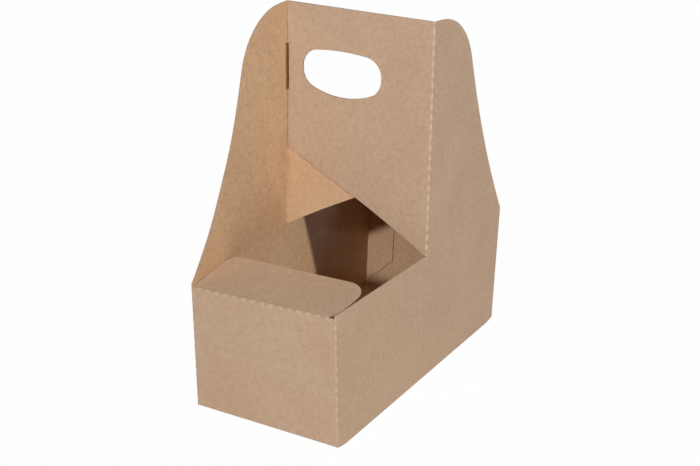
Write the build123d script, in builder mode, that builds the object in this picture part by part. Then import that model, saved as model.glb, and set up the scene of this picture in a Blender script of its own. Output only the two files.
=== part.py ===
from build123d import *
import os
from math import atan2, cos, degrees, radians, sin, sqrt

# Two-cup carrier, folded from one sheet of kraft paperboard
#
# The sheet closes round four walls. Each side wall runs up into a wing on one half of its length,
# and each wing turns at a fold into one ply of the handle. The two plies lie face to face across
# the middle. Wings, plies, top flaps and base flaps look the same after half a turn about the
# upright axis.
#
# Millimetres, +Z up, +Y along the side walls, +X towards the right-hand wall. The origin is the
# middle of the base.

# Board and folds
board = 0.6  # thickness of the paperboard
fold = 0.4  # inside radius of every fold

# Walls, measured outside
width = 100.0
length = 210.0
wall_height = 84.0  # top of the side walls
end_drop = 2.0  # the end walls fold over this much lower than the side walls
end_foot = 2.0  # and fold under this much above the floor

# Handle and wings
height = 229.0  # top of the handle
wing_flat = 9.0  # level stretch beside the fold, before the shoulder
shoulder_radius = 45.5
shoulder_lean = 18.0  # degrees from upright, where the shoulder meets the flare
ply_rise = 52.0  # climb of a ply's lower edge across the carrier
ply_bow = 2.0  # upward bulge of that edge
ply_gap = 0.3  # from a ply's free edge to the wing beside it

# Hand hole, a fat oval nearer to the left-hand wall
hole_width = 54.2
hole_height = 28.8
hole_offset = -11.2
hole_drop = 26.2  # from the top of the handle down to the hole
hole_crown = 2.7  # bulge of its upper edge
hole_belly = 7.9  # bulge of its lower edge
hole_corner = 11.3

# Slot in the left-hand fold, and the front ply's tongue tucked into it
slot_height = 29.5
slot_reach = 1.7  # from the outside of the wing
slot_corner = 1.2
tongue_gap = 0.15  # above and below the tongue
tongue_dip = 1.0  # how far back the tip of the tongue is pushed
tongue_step = 0.4  # length over which it dips
tongue_inset = 0.05  # from the outside of the wing to the tip

# Top flaps
flap_depth = 40.0
flap_lift = 7.5  # degrees that a flap springs back above level
flap_corner = 8.0
flap_gap = 0.3  # to the side wall
notch_corner = 14.0  # the corner above the notch is rounder
notch_gap = 0.8  # and stands further from its wall
notch_width = 5.0  # there the flap is cut back beside its fold
notch_depth = 4.5

# Glue tab, on the left-hand wall, behind the end of the back wall
tab_width = 21.0
tab_foot = 4.0  # from the base to the tab, at its fold
tab_head = 7.0  # from the tab to the top of the side walls, at its fold
tab_slope = 20.5  # height of each sloping end

# Base of four flaps: the end flaps are glued on to the side flaps
corner_cut = 9.0  # the side flaps stop this far from each corner
seam = 0.8  # between the side flaps
lock_reach = 12.0  # how far a side flap's tongue passes the middle
lock_ramp = 3.0  # length over which the tongue steps up on to the other flap
lock_margin = 0.5  # from a tongue to the end flap
end_flap_depth = 40.0
end_flap_taper = 7.0  # an end flap narrows by this much at each side

# Perforated folds, cut through at even steps
cut_length = 3.2
uncut_length = 3.15
cut_depth = 0.15
cutter = 2.0  # side of the square cutter

# Worked out from the sizes above
half_width = width / 2
half_length = length / 2
bend = fold + board / 2  # radius of a fold at the middle of the board
fold_outside = fold + board
side_line = half_width - board / 2  # middle of a side wall
end_line = half_length - board / 2  # middle of an end wall
inner_side = half_width - board  # inside face of a side wall
fold_height = wall_height - end_drop
wing_end = half_length - fold_outside
hole_top = height - hole_drop
hole_bottom = hole_top - hole_height
hole_middle = (hole_top + hole_bottom) / 2
lower_layer = board / 2  # middle of the side flaps
upper_layer = board * 3 / 2  # middle of the end flaps, which lie on them
walls_start = end_foot + 2 * fold_outside  # clear above the folds of the base
tab_start = wing_end - fold_outside  # where the left-hand wall hands over to the glue tab's strip
lock_length = half_length - end_flap_depth - lock_margin
cut_back = (cutter / 2 - (sqrt(2) - 1) * fold_outside - cut_depth) / sqrt(2)


def cut_places(low, high):
    """Middles of the cuts along a perforated fold that runs from low to high."""
    pitch = cut_length + uncut_length
    count = int((high - low) // pitch)
    first = (low + high - (count - 1) * pitch) / 2
    return [first + step * pitch for step in range(count)]


def perforate_upright(x, y, low, high):
    """Cuts along an upright fold whose sharp outside corner would be at x, y."""
    out_x = cut_back if x > 0 else -cut_back
    out_y = cut_back if y > 0 else -cut_back
    spots = [Location((x + out_x, y + out_y, z), (0, 0, 45)) for z in cut_places(low, high)]
    with Locations(*spots):
        Box(cutter, cutter, cut_length, mode=Mode.SUBTRACT)


def clear_base_folds():
    """Below walls_start the corners stay, and the folds of the base take the place of the walls."""
    with BuildSketch(Plane.XY.offset(end_foot)) as between_corners:
        Rectangle(width, length - 2 * fold_outside)
        Rectangle(width - 2 * fold_outside, length)
    extrude(between_corners.sketch, amount=walls_start - end_foot, mode=Mode.SUBTRACT)


# Walls, one strip of board seen from above
with BuildPart() as walls:
    with BuildSketch(Plane.XY.offset(end_foot)):
        with BuildLine():
            FilletPolyline(
                (-side_line, tab_start),
                (-side_line, -end_line),
                (side_line, -end_line),
                (side_line, end_line),
                (fold - half_width, end_line),
                radius=bend,
            )
        trace(line_width=board)
    extrude(amount=wall_height - end_foot)
    clear_base_folds()
    # The end walls stop where their flaps fold over
    with BuildSketch(Plane.XY.offset(fold_height - fold_outside)):
        with Locations((0, -half_length), (0, half_length)):
            Rectangle(2 * inner_side, 2 * fold_outside)
    extrude(amount=wall_height, mode=Mode.SUBTRACT)
    for corner_x, corner_y in ((-1, -1), (1, -1), (1, 1)):
        perforate_upright(corner_x * half_width, corner_y * half_length, end_foot, fold_height)

# Glue tab, the folded end of the left-hand wall
with BuildPart() as glue_tab:
    with BuildSketch(Plane.XY.offset(end_foot)):
        with BuildLine():
            FilletPolyline(
                (-side_line, tab_start),
                (-side_line, end_line - board),
                (tab_width - half_width, end_line - board),
                radius=bend,
            )
        trace(line_width=board)
    extrude(amount=wall_height - end_foot)
    clear_base_folds()
    # Sloping ends
    with BuildSketch(Plane.XZ.offset(-half_length)):
        for foot, lift in ((tab_foot, tab_slope), (wall_height - tab_head, -tab_slope)):
            Polygon(
                (-inner_side, foot),
                (tab_width - half_width, foot + lift),
                (tab_width - half_width, foot - lift),
                (-inner_side, foot - lift),
                align=None,
            )
    extrude(amount=2 * fold_outside, mode=Mode.SUBTRACT)

# Right-hand wing and the front ply of the handle, one strip seen from above
with BuildPart() as handle_half:
    with BuildSketch(Plane.XY.offset(wall_height)):
        with BuildLine():
            FilletPolyline(
                (side_line, wing_end),
                (side_line, -board / 2),
                (ply_gap - inner_side, -board / 2),
                radius=bend,
            )
        trace(line_width=board)
    extrude(amount=height - wall_height)
    # Outline of the wing, seen from the side
    with BuildSketch(Plane.YZ):
        with BuildLine():
            level = Line((-fold_outside, height), (wing_flat, height))
            shoulder = JernArc(level @ 1, level % 1, shoulder_radius, shoulder_lean - 90)
            flare = TangentArc(shoulder @ 1, (wing_end, wall_height), tangent=shoulder % 1)
            Polyline(flare @ 1, (-fold_outside, wall_height), level @ 0)
        make_face()
    extrude(amount=width, both=True, mode=Mode.INTERSECT)
    # The ply's lower edge climbs away from its fold
    with BuildSketch(Plane.XZ):
        with BuildLine():
            lower_edge = SagittaArc(
                (half_width - fold_outside, wall_height),
                (-half_width, wall_height + ply_rise),
                -ply_bow,
            )
            Polyline(lower_edge @ 1, (-half_width, wall_height), lower_edge @ 0)
        make_face()
    extrude(amount=fold_outside, mode=Mode.SUBTRACT)
    perforate_upright(half_width, -board, wall_height, height)

# Top flap of the front wall
with BuildPart() as top_flap:
    with BuildSketch(Plane.YZ):
        with BuildLine():
            FilletPolyline(
                (-end_line, fold_height - fold_outside),
                (-end_line, fold_height - board / 2),
                (
                    flap_depth * cos(radians(flap_lift)) - half_length,
                    flap_depth * sin(radians(flap_lift)) + fold_height - board / 2,
                ),
                radius=bend,
            )
        trace(line_width=board)
    extrude(amount=inner_side, both=True)
    # Outline of the flap, seen from above
    with BuildSketch(Plane.XY):
        flap_root = board - half_length
        flap_end = flap_depth * cos(radians(flap_lift)) - half_length
        Polygon(
            (-inner_side, -half_length),
            (inner_side, -half_length),
            (inner_side, flap_root),
            (inner_side - notch_width, flap_root),
            (inner_side - notch_gap, flap_root + notch_depth),
            (inner_side - notch_gap, flap_end),
            (flap_gap - inner_side, flap_end),
            (flap_gap - inner_side, flap_root),
            (-inner_side, flap_root),
            align=None,
        )
        fillet(vertices().group_by(Axis.Y)[-1].sort_by(Axis.X)[0], flap_corner)
        fillet(vertices().group_by(Axis.Y)[-1].sort_by(Axis.X)[-1], notch_corner)
    extrude(amount=height, mode=Mode.INTERSECT)
    out = (-half_length - cut_back, fold_height + cut_back)
    spots = [Location((x, *out), (45, 0, 0)) for x in cut_places(-inner_side, inner_side)]
    with Locations(*spots):
        Box(cut_length, cutter, cutter, mode=Mode.SUBTRACT)

# Base flap of the right-hand wall, with a tongue that locks over the other side flap
with BuildPart() as side_flap:
    with BuildSketch(Plane.XZ):
        with BuildLine():
            FilletPolyline(
                (side_line, walls_start),
                (side_line, lower_layer),
                (seam / 2, lower_layer),
                radius=bend,
            )
        trace(line_width=board)
    extrude(amount=half_length - fold_outside, both=True)
    # The flap stops short of the corners, and the wall above it is cut off at a slant
    with BuildSketch(Plane.YZ):
        flap_half = half_length - corner_cut
        Polygon(
            (-flap_half, 0),
            (flap_half, 0),
            (flap_half, board),
            (half_length, end_foot),
            (half_length, walls_start),
            (-half_length, walls_start),
            (-half_length, end_foot),
            (-flap_half, board),
            align=None,
        )
    extrude(amount=half_width, mode=Mode.INTERSECT)
    with BuildSketch(Plane.XZ):
        with Locations((seam / 2, 0)):
            Rectangle(lock_ramp, board, align=(Align.MIN, Align.MIN))
    extrude(amount=lock_length, mode=Mode.SUBTRACT)
    with BuildSketch(Plane.XZ):
        with BuildLine():
            Polyline(
                (seam / 2 + 2 * lock_ramp, lower_layer),
                (seam / 2 + lock_ramp, lower_layer),
                (seam / 2, upper_layer),
                (-lock_reach, upper_layer),
            )
        trace(line_width=board)
    extrude(amount=lock_length)

# Base flap of the front wall, which slopes down on to the side flaps
with BuildPart() as end_flap:
    with BuildSketch(Plane.YZ):
        with BuildLine():
            FilletPolyline(
                (-end_line, walls_start),
                (-end_line, end_foot + board / 2),
                (corner_cut - half_length, upper_layer),
                (end_flap_depth - half_length, upper_layer),
                radius=bend,
            )
        trace(line_width=board)
    extrude(amount=half_width - fold_outside, both=True)
    # Past its fold the flap narrows
    with BuildSketch(Plane.XY):
        with Locations((0, -half_length)):
            Rectangle(width, fold_outside, align=(Align.CENTER, Align.MIN))
        with Locations((0, fold_outside - half_length)):
            Trapezoid(
                width - 2 * fold_outside,
                end_flap_depth,
                left_side_angle=degrees(atan2(end_flap_depth, end_flap_taper)),
                align=(Align.CENTER, Align.MIN),
            )
    extrude(amount=height, mode=Mode.INTERSECT)

# The whole sheet
with BuildPart() as folded_carrier:
    add(walls.part)
    add(glue_tab.part)
    with PolarLocations(0, 2):
        add(handle_half.part)
        add(top_flap.part)
        add(side_flap.part)
        add(end_flap.part)
    # Hand hole through both plies
    with BuildSketch(Plane.XZ):
        with BuildLine():
            left = hole_offset - hole_width / 2
            right = hole_offset + hole_width / 2
            upper = hole_top - hole_crown
            lower = hole_bottom + hole_belly
            ThreePointArc((left, upper), (hole_offset, hole_top), (right, upper))
            Line((right, upper), (right, lower))
            ThreePointArc((right, lower), (hole_offset, hole_bottom), (left, lower))
            Line((left, lower), (left, upper))
        make_face()
        fillet(vertices(), hole_corner)
    extrude(amount=fold_outside, both=True, mode=Mode.SUBTRACT)
    # Slot in the left-hand fold
    with BuildSketch(Plane.XZ.offset(board)):
        with Locations((-half_width, hole_middle)):
            RectangleRounded(2 * slot_reach, slot_height, slot_corner)
    extrude(amount=-board - fold_outside, mode=Mode.SUBTRACT)
    # Tongue of the front ply, pushed back into the slot
    with BuildSketch(Plane.XY.offset(hole_middle)):
        with BuildLine():
            FilletPolyline(
                (2 * slot_reach - half_width, -board / 2),
                (slot_reach - half_width, -board / 2),
                (slot_reach - tongue_step - half_width, tongue_dip - board / 2),
                (tongue_inset - half_width, tongue_dip - board / 2),
                radius=bend,
            )
        trace(line_width=board)
    extrude(amount=slot_height / 2 - tongue_gap, both=True)

folded_carrier.part.label = "folded_carrier"
print(folded_carrier.part.volume, len(folded_carrier.part.solids()), folded_carrier.part.bounding_box())

os.makedirs("parts", exist_ok=True)
export_step(folded_carrier.part, "parts/folded_carrier.step")
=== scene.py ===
from math import cos, pi, radians, sin, sqrt

import bmesh
import bpy
from mathutils import Matrix, Vector


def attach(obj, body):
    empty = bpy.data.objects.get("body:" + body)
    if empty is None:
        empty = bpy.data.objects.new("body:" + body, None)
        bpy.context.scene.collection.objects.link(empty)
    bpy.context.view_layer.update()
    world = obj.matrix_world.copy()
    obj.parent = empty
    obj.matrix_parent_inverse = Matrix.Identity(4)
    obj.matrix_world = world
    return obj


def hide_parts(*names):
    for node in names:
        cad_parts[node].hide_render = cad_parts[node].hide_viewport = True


# Folded kraft paperboard cup carrier. Metres, +Z up, the origin in the middle of the base, +X towards the
# right-hand side wall and -Y towards the end wall nearest the camera.

MM = 0.001

# Sizes that the surface follows, in millimetres, as in the solid
BOARD = 0.6
FOLD_OUTSIDE = 1.0  # outside radius of every fold
HALF_WIDTH = 50.0
HALF_LENGTH = 105.0
WALL_TOP = 84.0
FLAP_FOLD = 82.0  # height at which the end walls fold over
HANDLE_TOP = 229.0
END_FOOT = 2.0  # and at which they fold under
LAP = 3.5  # the layers of the base and their folds lie below this height
CUT_DEPTH = 0.15  # of the perforations
CUT_LENGTH = 3.2
UNCUT_LENGTH = 3.15
TAB_EDGE = -29.0  # the glue tab's upright edge
TAB_FOOT = 4.0  # height of its lower end, at its fold
TAB_HEAD = 77.0  # and of its upper end
SLOT_REACH = 1.7  # from the outside of the left-hand wing
SLOT_FOOT = 173.6
SLOT_HEAD = 203.2
SLOT_SHADE = 2.7  # painted shade: the wing is painted dark this far from the handle, like the shadow inside the real slot

# The surface's mesh
MESH_STEP = 6.0  # between the cuts that let it warp
MERGE = 1e-6  # metres, within which points of the solid's surface are one
ON_CUT = 1e-7  # metres, within which a point lies on a cut
FACET = 0.25  # a fold's round surface is made of strips narrower than this
SHARP = 30.0  # degrees, beyond which an edge is shaded as sharp
SLACK = 0.1  # added to a bound where a face is sorted by its place
EDGE_ON = 0.3  # cosine to the way out of the board, within which a face is its cut edge
STRAIGHT_OUT = 0.99  # and beyond which a face looks straight out, as the floor of a cut does
WING_FACE = 0.8  # cosine to the left, beyond which a face is the outside of the left-hand wing

# Thin plates that close openings, inside the board's thickness, and stand in for the shade seen through them
PLATE = 0.2
PLATE_INSET = 0.4  # from the outside of a side wall
SLOT_PLATE = (-0.9, 0.5)  # its two upright edges, along Y
CORNER_PLATE = 10.0  # its inner edge, from the outside of the side wall
CORNER_PLATE_LOW = (9.5, 0.95)  # its edge on the base: from the outside of the end wall, and height
CORNER_PLATE_HIGH = (0.8, 2.4)  # and its edge in the end wall's foot

# The carrier in the photo stands a little out of true, by these amounts
RIM_TWIST = 2.3  # the rim is lower at the near left and far right, and higher at the other two corners
RIM_PINCH = 1.0  # at the near end, the right-hand side wall leans in at the rim
FOOT_PINCH = 1.8  # and the left-hand one at its foot
NEAR_PULL = 1.8  # the near end wall stands in at the right-hand end of its foot
FAR_PULL = 4.4  # the far end wall stands in all along its foot
WING_BOW = 2.5  # the left-hand wing bows in, half-way up it and WING_REACH from the handle
WING_REACH = 60.0
FOLD_LEAN = 4.5  # the left-hand wing's fold stands nearer at the rim, which ends WING_REACH from the handle
LEAN_CURVE = 2.5  # power by which that fades towards the handle's top
LEAN_RISE = 1 / 3  # share of it by which the fold stands higher too
CORNER_LIFT = 1.6  # the lower left-hand corner of the front ply is higher
CORNER_HEIGHT = 136.0
CORNER_REACH = 26.0  # from that corner to where its lift ends
SHOULDER_DROP = 0.9  # the right-hand wing's shoulder is lower than the handle's top
SHOULDER_WIDTH = 15.0  # from the handle to where the drop is full
HANDLE_TURN = 1.25  # degrees, at the top

# Scales of the board's patterns, in cycles per metre
CLOUDS = 22
MOTTLES = 420
FIBRES = 2600
SPECKS = 900
WEAR = 500
CUT_EDGE_PULP = 1500
PERFORATION_PULP = 1200
# the grain of the slot's painted shade
SLOT_SHADE_GRAIN = 900

# Marks along a fold: full within the first distance of its line, in millimetres, and gone at the second
PRESSED = (0.5, 1.4)
LIFTED = (0.7, 1.6)

# Camera, in metres, degrees and millimetres of lens and film
CAMERA_PLACE = (0.4105, -0.7015, 0.4257)
CAMERA_AZIMUTH = 30.61
CAMERA_ELEVATION = 22.56
CAMERA_ROLL = 0.62
CAMERA_LENS = 72.55
SENSOR = 36.0

# Lamps: name, azimuth, elevation, distance, the angle that each spans, its share of the light, and colour.
# Azimuth 0 is from -Y and 90 from +X. The first two are small, and cast the hard shadows inside the box.
LAMPS = (
    ("key", 72, 24, 3.5, 2.6, 0.54, (1, 0.975, 0.9)),
    ("front", 2.2, 24.4, 3.5, 3.4, 0.48, (0.98, 0.98, 1.015)),
    ("top", 10, 60, 1.6, 40, 0.165, (1, 0.93, 0.55)),
    ("rear", 228, 3, 1.6, 30, 0.22, (0.92, 1, 1.12)),
    ("back_top", 150, 45, 1.6, 60, 0.2, (0.8, 0.97, 1.25)),
)
LAMP_TARGET = (0, 0, 0.1)

# Floor and backdrop
FLOOR_SIZE = 30
FLOOR_DROP = 0.0002  # below the carrier's foot
FLOOR_TONE = (232, 232, 231)
FLOOR_GLOW = 0.97  # the camera sees the floor by its own white light
FLOOR_SHADE = 0.03  # and by this share of the lamps' light
SKY_LIGHT = (0.025, 0.03, 0.075, 1)
BACKDROP = (0.985, 0.985, 0.985, 1)  # as the camera sees the sky

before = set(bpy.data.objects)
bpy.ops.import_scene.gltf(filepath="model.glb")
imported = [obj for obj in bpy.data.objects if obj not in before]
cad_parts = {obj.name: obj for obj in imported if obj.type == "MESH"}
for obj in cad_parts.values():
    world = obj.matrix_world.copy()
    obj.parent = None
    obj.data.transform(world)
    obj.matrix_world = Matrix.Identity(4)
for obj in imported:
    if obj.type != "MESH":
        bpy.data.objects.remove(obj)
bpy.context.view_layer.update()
scene = bpy.context.scene


# Helpers

def srgb(red, green, blue):
    """Scene colour of an 8-bit screen colour."""
    def linear(value):
        value /= 255
        return value / 12.92 if value <= 0.04045 else ((value + 0.055) / 1.055) ** 2.4
    return linear(red), linear(green), linear(blue), 1.0


class Graph:
    """The nodes of one material or world, added one after another."""

    def __init__(self, owner):
        owner.use_nodes = True
        self.tree = owner.node_tree
        self.tree.nodes.clear()

    def add(self, kind, values=(), **settings):
        """A node, with its settings and its inputs. A socket given as a value is linked."""
        item = self.tree.nodes.new(kind)
        for key, value in settings.items():
            setattr(item, key, value)
        for key, value in dict(values).items():
            if isinstance(value, bpy.types.NodeSocket):
                self.tree.links.new(value, item.inputs[key])
            else:
                item.inputs[key].default_value = value
        return item

    def math(self, operation, first, second=0.0):
        return self.add("ShaderNodeMath", {0: first, 1: second}, operation=operation).outputs[0]

    def ramp(self, value, low, high, to_low=0.0, to_high=1.0, smooth=False):
        """value taken from the range low..high to the range to_low..to_high."""
        kind = "SMOOTHSTEP" if smooth else "LINEAR"
        inputs = {"Value": value, "From Min": low, "From Max": high, "To Min": to_low, "To Max": to_high}
        return self.add("ShaderNodeMapRange", inputs, interpolation_type=kind).outputs[0]

    def noise(self, place, scale, detail=2.0, roughness=0.5, stretch=(1.0, 1.0, 1.0)):
        """Noise at scale cycles per metre. stretch makes its grains longer along an axis."""
        squeeze = tuple(1 / s for s in stretch)
        moved = self.add("ShaderNodeMapping", {"Vector": place, "Scale": squeeze}).outputs[0]
        inputs = {"Vector": moved, "Scale": scale, "Detail": detail, "Roughness": roughness}
        return self.add("ShaderNodeTexNoise", inputs).outputs["Fac"]

    def mix(self, factor, first, second):
        """The first colour at a factor of 0, and the second at 1."""
        return self.add("ShaderNodeMix", {"Factor": factor, 6: first, 7: second}, data_type="RGBA").outputs[2]


# Kraft board

FLAT_PLACE = "true_place"  # each point's place before the carrier settles, which the materials follow


def near(graph, value, target, full, reach):
    """1 where the absolute value is within full of the target, fading to 0 at reach."""
    gap = graph.math("ABSOLUTE", graph.math("SUBTRACT", graph.math("ABSOLUTE", value), target * MM))
    return graph.ramp(gap, full * MM, reach * MM, 1.0, 0.0, smooth=True)


def fold_masks(graph, axes, full, reach):
    """Three masks: the upright corners, the folds of the handle, and the folds of the top flaps."""
    side = near(graph, axes[0], HALF_WIDTH, full, reach)
    end = near(graph, axes[1], HALF_LENGTH, full, reach)
    above = graph.math("GREATER_THAN", axes[2], WALL_TOP * MM)
    wing = graph.math("MULTIPLY", graph.math("MULTIPLY", side, near(graph, axes[1], 0.0, full, reach)), above)
    head = graph.math("MULTIPLY", end, near(graph, axes[2], FLAP_FOLD, full, reach))
    return graph.math("MULTIPLY", side, end), wing, head


def dashes(graph, value, low, high):
    """1 at the cuts of a perforated fold that runs from low to high, 0 between them."""
    spacing = CUT_LENGTH + UNCUT_LENGTH
    count = int((high - low) // spacing)
    first = (low + high - (count - 1) * spacing) / 2
    turns = graph.ramp(value, first * MM, (first + spacing) * MM, 0.5, 1.5)
    turns.node.clamp = False
    off = graph.math("ABSOLUTE", graph.math("SUBTRACT", graph.math("FRACT", turns), 0.5))
    half_cut = CUT_LENGTH / 2 / spacing
    blur = 0.06  # of a turn, at each end of a cut
    return graph.ramp(off, half_cut - blur, half_cut + blur, 1.0, 0.0, smooth=True)


def tab_edge_shadow(graph, axes):
    """1 along the edge of the glue tab, seen on the inside of the far end wall, where a thin painted shadow
    of the tab's edge goes.
    """
    past_edge = graph.math("SUBTRACT", axes[0], TAB_EDGE * MM)
    run = graph.math("ADD", axes[0], HALF_WIDTH * MM)
    below = graph.math("SUBTRACT", graph.math("ADD", run, TAB_FOOT * MM), axes[2])
    above = graph.math("SUBTRACT", graph.math("ADD", axes[2], run), TAB_HEAD * MM)
    slopes = graph.math("MULTIPLY", graph.math("MAXIMUM", below, above), sqrt(0.5))
    outside = graph.math("MAXIMUM", past_edge, slopes)
    full, reach = 0.1, 0.5  # half widths of the line, where it is darkest and where it ends
    line = graph.ramp(graph.math("ABSOLUTE", outside), full * MM, reach * MM, 1.0, 0.0, smooth=True)
    wall_zone = 3.0  # the far end wall lies this near the box's end
    return graph.math("MULTIPLY", line, graph.math("GREATER_THAN", axes[1], (HALF_LENGTH - wall_zone) * MM))


def kraft(name, tone, dark, pale, cloud, mottle, fibre, fleck, worn=None):
    """Uncoated kraft board of one tone, which its patterns mix with a dark and a pale one.

    cloud, mottle, fibre and fleck are the patterns' strengths. The outside has a colour for where it is worn.
    The inside has none, and has a painted shadow along the glue tab's edge.
    """
    material = bpy.data.materials.new(name)
    graph = Graph(material)
    place = graph.add("ShaderNodeAttribute", attribute_name=FLAT_PLACE).outputs["Vector"]

    # Broad clouds, then mottling of a few millimetres
    clouds = graph.noise(place, CLOUDS, detail=3, roughness=0.6)
    mottles = graph.noise(place, MOTTLES, detail=4, roughness=0.6, stretch=(1.25, 1.25, 1))
    color = graph.mix(graph.ramp(clouds, 0.35, 0.68, 0.0, cloud), tone, pale)
    color = graph.mix(graph.ramp(mottles, 0.42, 0.7, 0.0, mottle), color, dark)

    # Fibres lying in every direction
    strands = [
        graph.noise(place, FIBRES, detail=2, stretch=stretch)
        for stretch in ((9, 1, 1), (1, 9, 1), (1, 1, 9))
    ]
    light_fibres = graph.math("MAXIMUM", strands[0], strands[1])
    dark_fibres = graph.math("MINIMUM", strands[1], strands[2])
    color = graph.mix(graph.ramp(light_fibres, 0.58, 0.72, 0.0, fibre), color, pale)
    color = graph.mix(graph.ramp(dark_fibres, 0.42, 0.3, 0.0, fibre), color, dark)

    # A few dark flecks and shives
    specks = graph.noise(place, SPECKS, detail=1, stretch=(1, 1, 2.5))
    color = graph.mix(graph.ramp(specks, 0.73, 0.79, 0.0, fleck), color, dark)

    axes = graph.add("ShaderNodeSeparateXYZ", {0: place}).outputs
    if worn:
        patchy = graph.ramp(graph.noise(place, WEAR, detail=3), 0.35, 0.65, 0.4, 1.0)
        # The board is pressed darker along the folds, and lifted and torn pale beside each cut
        corners, wings, heads = fold_masks(graph, axes, *PRESSED)
        folds = graph.math("MAXIMUM", graph.math("MAXIMUM", corners, wings), heads)
        color = graph.mix(graph.math("MULTIPLY", folds, 0.3), color, dark)
        corners, wings, heads = fold_masks(graph, axes, *LIFTED)
        side = HALF_WIDTH - BOARD
        cuts = (
            (corners, dashes(graph, axes[2], END_FOOT, FLAP_FOLD), 0.28),
            (wings, dashes(graph, axes[2], WALL_TOP, HANDLE_TOP), 0.4),
            (heads, dashes(graph, axes[0], -side, side), 0.4),
        )
        for fold, cut, strength in cuts:
            lifted = graph.math("MULTIPLY", graph.math("MULTIPLY", fold, cut), patchy)
            color = graph.mix(graph.math("MULTIPLY", lifted, strength), color, worn)
    else:
        # painted shadow: a thin dark line along the glue tab's edge on the far end wall
        color = graph.mix(graph.math("MULTIPLY", tab_edge_shadow(graph, axes), 0.6), color, dark)

    grain = graph.math("ADD", mottles, graph.math("MULTIPLY", light_fibres, 0.6))
    bump = graph.add("ShaderNodeBump", {"Height": grain, "Strength": 0.22, "Distance": 0.12 * MM}).outputs[0]
    rough = graph.ramp(mottles, 0.3, 0.7, 0.72, 0.86)
    surface = graph.add(
        "ShaderNodeBsdfPrincipled",
        {"Base Color": color, "Roughness": rough, "Normal": bump, "Specular IOR Level": 0.22},
    )
    graph.add("ShaderNodeOutputMaterial", {0: surface.outputs[0]})
    return material


def pulp(name, tone, pale, scale):
    """Bare fibres, as on a cut edge or a perforation; darker, it is also the painted shade in the slot."""
    material = bpy.data.materials.new(name)
    graph = Graph(material)
    place = graph.add("ShaderNodeAttribute", attribute_name=FLAT_PLACE).outputs["Vector"]
    grain = graph.noise(place, scale, detail=4, roughness=0.7)
    color = graph.mix(graph.ramp(grain, 0.35, 0.65), tone, pale)
    bump = graph.add("ShaderNodeBump", {"Height": grain, "Strength": 0.5, "Distance": 0.1 * MM}).outputs[0]
    surface = graph.add(
        "ShaderNodeBsdfPrincipled",
        {"Base Color": color, "Roughness": 0.9, "Normal": bump, "Specular IOR Level": 0.15},
    )
    graph.add("ShaderNodeOutputMaterial", {0: surface.outputs[0]})
    return material


# the last of these is a painted shade: the slot and the wing beside it, dark as the real slot's shadow
OUTSIDE, INSIDE, CUT_EDGE, PERFORATION, SHADED_SLOT = range(5)


def board_materials():
    """The materials of the board, in the order of the names above."""
    outside = kraft(
        "kraft_outside",
        tone=srgb(190, 160, 134),
        dark=srgb(166, 134, 108),
        pale=srgb(202, 176, 150),
        cloud=0.45,
        mottle=0.36,
        fibre=0.5,
        fleck=0.5,
        worn=srgb(216, 194, 170),
    )
    inside = kraft(
        "kraft_inside",
        tone=srgb(202, 165, 130),
        dark=srgb(166, 129, 95),
        pale=srgb(215, 181, 145),
        cloud=0.85,
        mottle=0.33,
        fibre=0.6,
        fleck=0.6,
    )
    edge = pulp("cut_edge", srgb(156, 133, 112), srgb(178, 153, 130), CUT_EDGE_PULP)
    torn = pulp("torn_perforation", srgb(190, 163, 136), srgb(204, 180, 152), PERFORATION_PULP)
    # painted shade: dark as the shadow inside the real slot
    painted_slot_shade = pulp("slot_painted_shade", srgb(138, 99, 66), srgb(150, 110, 76), SLOT_SHADE_GRAIN)
    return outside, inside, edge, torn, painted_slot_shade


def outward(x, y, z):
    """The way that the outside of the board faces at a point of the carrier, in millimetres."""
    side_x = 1 if x > 0 else -1
    side_y = 1 if y > 0 else -1
    bend = FOLD_OUTSIDE + SLACK
    on_side = abs(x) > HALF_WIDTH - bend
    on_end = abs(y) > HALF_LENGTH - bend - BOARD
    by_handle = abs(y) < bend
    # A wing, or its fold into the handle
    if z > WALL_TOP and on_side:
        return Vector((side_x, -side_x if by_handle else 0, 0))
    # A ply of the handle
    if z > WALL_TOP and by_handle:
        return Vector((0, side_y, 0)) if abs(y) > BOARD / 2 else Vector((0, -side_x, 0))
    # A wall, a corner between two, or a fold over or under it
    if on_side or on_end:
        over = on_end and not on_side and z > FLAP_FOLD - bend
        up = 1 if over else -1 if z < LAP else 0
        return Vector((side_x if on_side else 0, side_y if on_end else 0, up))
    # A top flap, or the base
    return Vector((0, 0, 1 if z > LAP else -1))


def in_slot(x, y, z, normal):
    """Whether a face takes the slot's painted shade: in the slot, or on the wing beside it."""
    beside = x < SLOT_REACH - HALF_WIDTH + SLACK and normal.x > -WING_FACE
    return beside and -SLOT_SHADE < y < FOLD_OUTSIDE + SLACK and SLOT_FOOT < z < SLOT_HEAD


def in_perforation(x, y, z, away):
    """Whether a face is in a cut of a perforated fold, where away is the way that the fold faces."""
    side_x = 1 if x > 0 else -1
    side_y = 1 if y > 0 else -1
    axis = Vector((
        side_x * (HALF_WIDTH - FOLD_OUTSIDE),
        side_y * (HALF_LENGTH - FOLD_OUTSIDE),
        FLAP_FOLD - FOLD_OUTSIDE,
    ))
    inside = FOLD_OUTSIDE - BOARD
    if z > WALL_TOP:
        axis.y = side_x * inside
    radius = (Vector((x, y, z)) - axis).dot(away)
    return z > FLAP_FOLD - FOLD_OUTSIDE and inside + SLACK < radius < FOLD_OUTSIDE - CUT_DEPTH / 2


def board_side(center, normal):
    """Which of the materials a face of the surface takes."""
    x, y, z = center / MM
    if in_slot(x, y, z, normal):
        return SHADED_SLOT
    away = outward(x, y, z).normalized()
    facing = normal.dot(away)
    on_fold = sum(part != 0 for part in away) > 1
    if on_fold and facing > STRAIGHT_OUT and in_perforation(x, y, z, away):
        return PERFORATION
    if facing > EDGE_ON:
        return OUTSIDE
    return INSIDE if facing < -EDGE_ON else CUT_EDGE


def fade(distance, reach):
    """1 at a distance of 0, falling evenly to 0 at reach."""
    return max(1 - abs(distance) / reach, 0.0)


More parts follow.
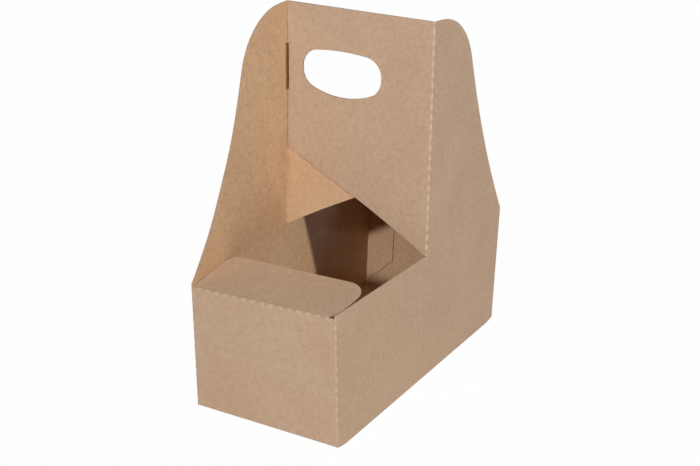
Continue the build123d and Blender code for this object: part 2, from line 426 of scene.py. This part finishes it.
def settle(place):
    """Where a point of the true carrier lies on the one in the photo."""
    x, y, z = place / MM
    rise = min(z / (FLAP_FOLD - FOLD_OUTSIDE), 1.0)  # 0 at the foot of the walls, 1 from their rim up
    climb = max(z - WALL_TOP, 0.0) / (HANDLE_TOP - WALL_TOP)  # 0 up to the rim, 1 at the handle's top
    nearness = max(-y, 0.0) / HALF_LENGTH
    leftness = 0.5 - x / HALF_WIDTH / 2

    twist = RIM_TWIST * rise * (x / HALF_WIDTH) * (y / HALF_LENGTH)
    lean = FOLD_LEAN * leftness * rise * (1 - climb) ** LEAN_CURVE * fade(y, WING_REACH)
    lift = CORNER_LIFT * fade(x + HALF_WIDTH, CORNER_REACH) * fade(z - CORNER_HEIGHT, CORNER_REACH)
    z = min(z - twist + lean * LEAN_RISE + lift, HANDLE_TOP)

    if x < 0:
        pinch = FOOT_PINCH * (1 - rise)
        x += WING_BOW * sin(pi * climb) * max(-y, 0.0) / WING_REACH
    else:
        pinch = RIM_PINCH * rise * (1 - climb)
        z -= SHOULDER_DROP * climb * min(max(y, 0.0) / SHOULDER_WIDTH, 1.0)
    x *= 1 - pinch / HALF_WIDTH * nearness

    pull = NEAR_PULL * (1 - leftness) if y < 0 else FAR_PULL
    y *= 1 - pull / HALF_LENGTH * (1 - rise)
    y -= lean

    turn = radians(HANDLE_TURN) * climb
    return Vector((x * cos(turn) - y * sin(turn), x * sin(turn) + y * cos(turn), z)) * MM


def cut(mesh, place, direction):
    """Divides the faces that a plane crosses."""
    geometry = mesh.verts[:] + mesh.edges[:] + mesh.faces[:]
    bmesh.ops.bisect_plane(mesh, geom=geometry, dist=ON_CUT, plane_co=place * MM, plane_no=direction)


def divide(mesh):
    """Cuts the surface at even steps, and at the edges of the slot's painted shade."""
    for axis, reach in ((0, HALF_WIDTH), (1, HALF_LENGTH), (2, HANDLE_TOP)):
        low = -reach if axis < 2 else 0.0
        count = int((reach - low) / MESH_STEP)
        direction = Vector([float(other == axis) for other in range(3)])
        for index in range(1, count):
            cut(mesh, direction * (low + (reach - low) * index / count), direction)
    cut(mesh, Vector((0, -SLOT_SHADE, 0)), Vector((0, 1, 0)))
    for height in (SLOT_FOOT, SLOT_HEAD):
        cut(mesh, Vector((0, 0, height)), Vector((0, 0, 1)))


def add_plate(mesh, corners, depth):
    """A thin closed plate, from the four corners of one face and the way to the other."""
    face = [mesh.verts.new(Vector(corner) * MM) for corner in corners]
    back = [mesh.verts.new((Vector(corner) + Vector(depth)) * MM) for corner in corners]
    mesh.faces.new(face)
    mesh.faces.new(back[::-1])
    for index in range(4):
        mesh.faces.new((face[index], face[index - 1], back[index - 1], back[index]))


def close_openings(mesh):
    """Thin plates inside the board, so that no daylight shows through the slot or the base's corners. They
    stand in for the shade seen through these openings; the slot's plate takes its painted shade.
    """
    near_edge, far_edge = SLOT_PLATE
    slot = (near_edge, SLOT_FOOT), (far_edge, SLOT_FOOT), (far_edge, SLOT_HEAD), (near_edge, SLOT_HEAD)
    add_plate(mesh, [(PLATE_INSET - HALF_WIDTH, y, z) for y, z in slot], (-PLATE, 0, 0))

    # At each corner, from the base up into the foot of the end wall
    (low_inset, low), (high_inset, high) = CORNER_PLATE_LOW, CORNER_PLATE_HIGH
    for side in (-1, 1):
        for end in (-1, 1):
            outer = side * (HALF_WIDTH - PLATE_INSET)
            inner = side * (HALF_WIDTH - CORNER_PLATE)
            foot = end * (HALF_LENGTH - low_inset)
            fold = end * (HALF_LENGTH - high_inset)
            corners = [(outer, foot, low), (inner, foot, low), (inner, fold, high), (outer, fold, high)]
            if side * end < 0:
                corners.reverse()
            add_plate(mesh, corners, (0, 0, -PLATE))


def dress_faces(mesh):
    """Gives each face its material, and shades the panels apart from the folds between them."""
    round_faces = set()
    for face in mesh.faces:
        longest = max(edge.calc_length() for edge in face.edges)
        face.material_index = board_side(face.calc_center_median(), face.normal)
        face.smooth = True
        if face.calc_area() < longest * FACET * MM:
            round_faces.add(face)
    for edge in mesh.edges:
        kinds = {face in round_faces for face in edge.link_faces}
        edge.smooth = len(kinds) == 1 and edge.calc_face_angle(pi) < radians(SHARP)


def make_board(solid):
    """The folded sheet: the solid's surface, cut finely and very slightly warped."""
    mesh = bmesh.new()
    mesh.from_mesh(solid.data)
    bmesh.ops.remove_doubles(mesh, verts=mesh.verts, dist=MERGE)
    divide(mesh)
    close_openings(mesh)
    mesh.normal_update()
    dress_faces(mesh)
    flat = mesh.verts.layers.float_vector.new(FLAT_PLACE)
    for vertex in mesh.verts:
        vertex[flat] = vertex.co
        vertex.co = settle(vertex.co)
    data = bpy.data.meshes.new("folded_board")
    mesh.to_mesh(data)
    mesh.free()
    for material in board_materials():
        data.materials.append(material)
    piece = bpy.data.objects.new("folded_board", data)
    scene.collection.objects.link(piece)
    return piece


# Floor, lights and camera

def make_floor():
    """A wide pale floor. It lights the carrier from below, and the camera sees it as white."""
    bpy.ops.mesh.primitive_plane_add(size=FLOOR_SIZE, location=(0, 0, -FLOOR_DROP))
    floor = bpy.context.object
    floor.name = "floor"
    material = bpy.data.materials.new("floor")
    graph = Graph(material)
    seen = graph.add("ShaderNodeLightPath").outputs["Is Camera Ray"]
    plain = graph.add("ShaderNodeBsdfDiffuse", {"Color": srgb(*FLOOR_TONE)}).outputs[0]
    shade = (FLOOR_SHADE, FLOOR_SHADE, FLOOR_SHADE, 1)
    shaded = graph.add("ShaderNodeBsdfDiffuse", {"Color": shade}).outputs[0]
    glow = graph.add("ShaderNodeEmission", {"Color": (1, 1, 1, 1), "Strength": FLOOR_GLOW}).outputs[0]
    bright = graph.add("ShaderNodeAddShader", {0: shaded, 1: glow}).outputs[0]
    mixed = graph.add("ShaderNodeMixShader", {0: seen, 1: plain, 2: bright}).outputs[0]
    graph.add("ShaderNodeOutputMaterial", {0: mixed})
    floor.data.materials.append(material)


def make_world():
    """White behind the carrier, and a faint cool light from all sides."""
    world = bpy.data.worlds.new("studio")
    scene.world = world
    graph = Graph(world)
    seen = graph.add("ShaderNodeLightPath").outputs["Is Camera Ray"]
    color = graph.mix(seen, SKY_LIGHT, BACKDROP)
    sky = graph.add("ShaderNodeBackground", {"Color": color}).outputs[0]
    graph.add("ShaderNodeOutputWorld", {0: sky})


def turned(azimuth, elevation, roll=0.0):
    """Rotation of a camera or lamp that looks at the carrier from an azimuth and elevation."""
    return (
        Matrix.Rotation(radians(azimuth), 4, "Z")
        @ Matrix.Rotation(pi / 2 - radians(elevation), 4, "X")
        @ Matrix.Rotation(radians(roll), 4, "Z")
    )


def make_lamp(name, azimuth, elevation, distance, spread, share, color):
    """A round softbox that spans an angle of spread, seen from the carrier.

    A white surface at the carrier that faces a share of 1 squarely shows as white.
    """
    lamp = bpy.data.lights.new(name, "AREA")
    lamp.shape = "DISK"
    lamp.size = distance * radians(spread)
    lamp.energy = share * (pi * distance) ** 2
    lamp.color = color
    holder = bpy.data.objects.new(name, lamp)
    holder.matrix_world = (
        Matrix.Translation(LAMP_TARGET) @ turned(azimuth, elevation) @ Matrix.Translation((0, 0, distance))
    )
    holder.visible_camera = False
    scene.collection.objects.link(holder)


def make_camera():
    camera = bpy.data.cameras.new("camera")
    camera.lens = CAMERA_LENS
    camera.sensor_width = SENSOR
    camera.clip_start = 0.01
    camera.clip_end = 100.0
    holder = bpy.data.objects.new("camera", camera)
    holder.matrix_world = (
        Matrix.Translation(CAMERA_PLACE) @ turned(CAMERA_AZIMUTH, CAMERA_ELEVATION, CAMERA_ROLL)
    )
    scene.collection.objects.link(holder)
    scene.camera = holder


scene.view_settings.view_transform = "Standard"
board = make_board(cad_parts["folded_carrier"])
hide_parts("folded_carrier")
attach(board, "root")

make_floor()
make_world()
for lamp in LAMPS:
    make_lamp(*lamp)
make_camera()
